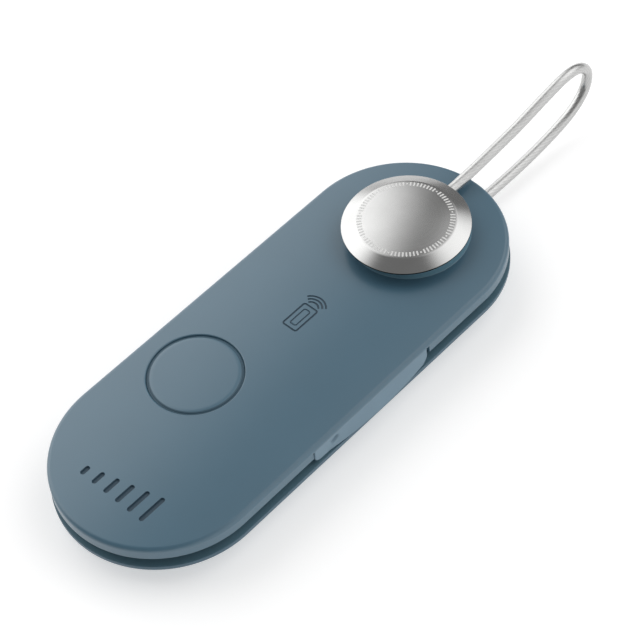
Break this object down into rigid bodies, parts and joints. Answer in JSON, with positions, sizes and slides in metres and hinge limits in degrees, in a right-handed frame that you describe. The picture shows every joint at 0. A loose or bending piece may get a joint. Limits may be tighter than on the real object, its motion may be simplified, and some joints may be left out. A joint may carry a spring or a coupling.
{
  "type": "bluetooth tracker tag",
  "caption": "Flat pill-shaped plastic tracker tag with a press button, a flap over its charging port, and a steel rope loop clamped by a domed disc.",
  "frame": {"origin": "middle of the tag's outline seen from above, on the plane of the lower disc's flat foot", "axes": "+X along the tag towards the rope loop, +Y across it away from the charging port, +Z out of the face with the button"},
  "size_m": [0.1175, 0.0349, 0.0139],
  "materials": {
    "shell_plastic": "fine matt texture, blue-grey",
    "frame_plastic": "matt, dark blue",
    "flap_plastic": "soft-touch, slightly lighter than the case",
    "turned_steel": "turned, satin",
    "fixing_steel": "satin",
    "screw_steel": "satin",
    "coated_rope": "fine strands under a clear coat",
    "white_nylon": "satin, off-white",
    "seal_rubber": "matt black",
    "contact_steel": "stamped, satin",
    "tongue_plastic": "matt black",
    "circuit_board": "green solder mask",
    "chip_plastic": "matt black moulding",
    "antenna_ceramic": "fired ceramic, off-white",
    "ferrite": "dark grey, matt",
    "copper_foil": "bare copper",
    "battery_foil": "matt foil pouch",
    "foam": "black adhesive foam",
    "sounder_brass": "satin",
    "sounder_ceramic": "silvered ceramic",
    "wire_red": "insulation",
    "wire_black": "insulation"
  },
  "bodies": {
    "tag_body": {"accelerometer": "chip_plastic", "base_disc": "turned_steel", "battery_cell": "battery_foil", "battery_lead_black": "wire_black", "battery_lead_red": "wire_red", "battery_pad": "foam", "bluetooth_chip": "chip_plastic", "boost_inductor": "ferrite", "cable_loop": "coated_rope", "charger_chip": "chip_plastic", "chip_antenna": "antenna_ceramic", "cover_anchor": "flap_plastic", "crystal": "contact_steel", "ferrite_sheet": "ferrite", "fixing_bush": "turned_steel", "lower_cable_lug": "fixing_steel", "main_pcb": "circuit_board", "mid_frame": "frame_plastic", "nfc_antenna": "copper_foil", "perimeter_gasket": "seal_rubber", "piezo_ceramic": "sounder_ceramic", "piezo_lead_1": "wire_black", "piezo_lead_2": "wire_red", "piezo_plate": "sounder_brass", "piezo_ring": "foam", "rear_cover": "shell_plastic", "rear_screw_1": "screw_steel", "rear_screw_2": "screw_steel", "rear_screw_3": "screw_steel", "rear_screw_4": "screw_steel", "snap_dome": "contact_steel", "top_shell": "shell_plastic", "upper_cable_lug": "fixing_steel", "usb_shell": "contact_steel", "usb_tongue": "tongue_plastic"},
    "button": {"button_cap": "shell_plastic"},
    "port_flap": {"port_cover": "flap_plastic"},
    "washer": {"slip_washer": "white_nylon"},
    "disc": {"cable_disc": "turned_steel"}
  },
  "joints": [
    {"name": "button_press", "type": "slide", "parent": "tag_body", "child": "button", "axis": [0, 0, -1], "range_m": [0, 0.0004], "stiffness_N_per_m": 2000, "springref_m": -0.0003},
    {"name": "port_flap_hinge", "type": "hinge", "parent": "tag_body", "child": "port_flap", "pos_m": [0.013, -0.0166, 0.00585], "axis": [0, 0, 1], "range_deg": [0, 110], "stiffness_Nm_per_rad": 0.0002},
    {"name": "disc_turn", "type": "hinge", "parent": "tag_body", "child": "washer", "pos_m": [0.0279, 0, 0.0104], "axis": [0, 0, 1], "range_deg": [0, 1081]},
    {"name": "disc_lift", "type": "slide", "parent": "washer", "child": "disc", "axis": [0, 0, 1], "range_m": [0, 0.0024]}
  ],
  "couplings": [
    {"joint": "disc_turn", "follows": "disc_lift", "rad_per_m": 7854}
  ]
}
